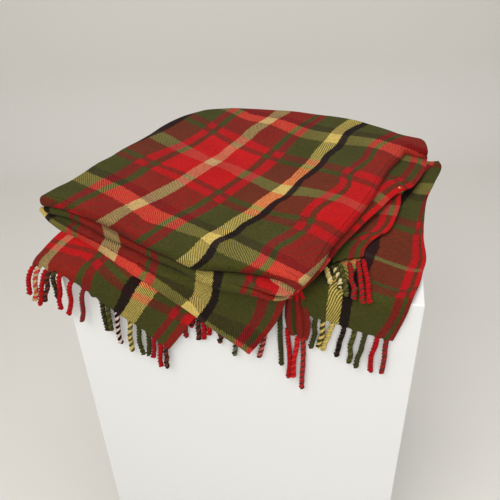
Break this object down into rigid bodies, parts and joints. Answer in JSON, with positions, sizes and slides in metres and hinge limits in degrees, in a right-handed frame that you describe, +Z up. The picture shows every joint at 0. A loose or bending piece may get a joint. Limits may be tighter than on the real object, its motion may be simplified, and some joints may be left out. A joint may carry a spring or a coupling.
{
  "type": "camp blanket",
  "caption": "Folded tartan wool camp blanket with twisted fringe, lying on a flat support with its fringed ends hanging over the front edge.",
  "frame": {"origin": "on the support plane, under the middle of the folded stack", "axes": "+Z up out of the support; +X to the right and +Y to the back, seen from the side where the fringed ends hang down"},
  "size_m": [0.9202, 0.8205, 0.319],
  "materials": {
    "wool_plaid_red": "brushed wool twill",
    "wool_plaid_green": "brushed wool twill",
    "wool_red": "brushed wool twill",
    "wool_brown": "brushed wool twill",
    "wool_green": "brushed wool twill",
    "wool_cream": "brushed wool twill",
    "wool_yellow": "brushed wool twill",
    "wool_black_white": "brushed wool twill",
    "wool_striped": "brushed wool twill"
  },
  "bodies": {
    "bottom": {"bottom_section": "wool_plaid_green", "inner_section": "wool_plaid_green"},
    "middle_section": {"middle_section": "wool_plaid_red"},
    "top_section": {"top_section": "wool_plaid_red"},
    "left_drape": {"left_drape": "wool_plaid_red"},
    "corner_flap": {"corner_flap": "wool_plaid_green"},
    "right_drape": {"right_drape": "wool_plaid_green"},
    "centre_fringe": {"gathered_panel": "wool_red", "centre_tassel_striped": "wool_striped", "centre_tassel_green": "wool_green", "centre_tassels_red": "wool_red", "centre_tassel_brown": "wool_brown", "short_tassels_red": "wool_red", "short_tassels_brown": "wool_brown", "short_tassel_green": "wool_green"},
    "left_fringe": {"left_tassel_striped": "wool_striped", "left_tassels_red": "wool_red", "left_tassels_brown": "wool_brown"},
    "hem_fringe": {"hem_tassels_green": "wool_green", "hem_tassel_black_white": "wool_black_white", "hem_tassel_yellow": "wool_yellow", "hem_tassels_red": "wool_red", "hem_tassel_brown": "wool_brown"},
    "right_fringe": {"right_tassels_green": "wool_green", "right_tassel_yellow": "wool_yellow", "right_tassel_black": "wool_black_white", "right_tassels_red": "wool_red"},
    "inner_fringe": {"inner_tassels_cream": "wool_cream", "inner_tassel_green": "wool_green", "inner_tassels_red": "wool_red"}
  },
  "joints": [
    {"name": "middle_opening", "type": "hinge", "parent": "bottom", "child": "middle_section", "pos_m": [0.295, 0.297, 0.0255], "axis": [-0.866, 0.5, 0], "range_deg": [0, 75]},
    {"name": "top_opening", "type": "hinge", "parent": "middle_section", "child": "top_section", "pos_m": [-0.378, 0.073, 0.0465], "axis": [-0.5, -0.866, 0], "range_deg": [0, 165]},
    {"name": "left_drape_lift", "type": "hinge", "parent": "bottom", "child": "left_drape", "pos_m": [-0.23334, -0.26146, 0], "axis": [-0.9778, 0.2097, 0], "range_deg": [0, 60]},
    {"name": "corner_flap_lift", "type": "hinge", "parent": "middle_section", "child": "corner_flap", "pos_m": [-0.06838, -0.30298, 0.03], "axis": [-0.9778, 0.2097, 0], "range_deg": [0, 60]},
    {"name": "centre_fringe_swing", "type": "hinge", "parent": "bottom", "child": "centre_fringe", "pos_m": [0.08932, -0.33067, 0], "axis": [-0.9778, 0.2097, 0], "range_deg": [0, 60]},
    {"name": "right_drape_lift", "type": "hinge", "parent": "bottom", "child": "right_drape", "pos_m": [0.19687, -0.35373, 0], "axis": [-0.9778, 0.2097, 0], "range_deg": [0, 60]},
    {"name": "left_fringe_swing", "type": "hinge", "parent": "left_drape", "child": "left_fringe", "pos_m": [-0.37511, -0.24537, -0.031], "axis": [-0.9622, 0.2064, 0.1777], "range_deg": [-8, 35]},
    {"name": "hem_fringe_swing", "type": "hinge", "parent": "left_drape", "child": "hem_fringe", "pos_m": [-0.24018, -0.27431, -0.112], "axis": [-0.7455, 0.1599, 0.647], "range_deg": [-8, 35]},
    {"name": "right_fringe_swing", "type": "hinge", "parent": "right_drape", "child": "right_fringe", "pos_m": [0.18769, -0.35841, -0.069], "axis": [-0.9406, 0.2018, 0.273], "range_deg": [-4, 35]},
    {"name": "inner_fringe_lift", "type": "hinge", "parent": "bottom", "child": "inner_fringe", "pos_m": [0.18194, -0.27076, 0.021], "axis": [-0.9842, -0.1771, 0], "range_deg": [0, 40]}
  ],
  "couplings": [
    {"joint": "corner_flap_lift", "follows": "left_drape_lift", "ratio": 1},
    {"joint": "centre_fringe_swing", "follows": "left_drape_lift", "ratio": 1}
  ]
}
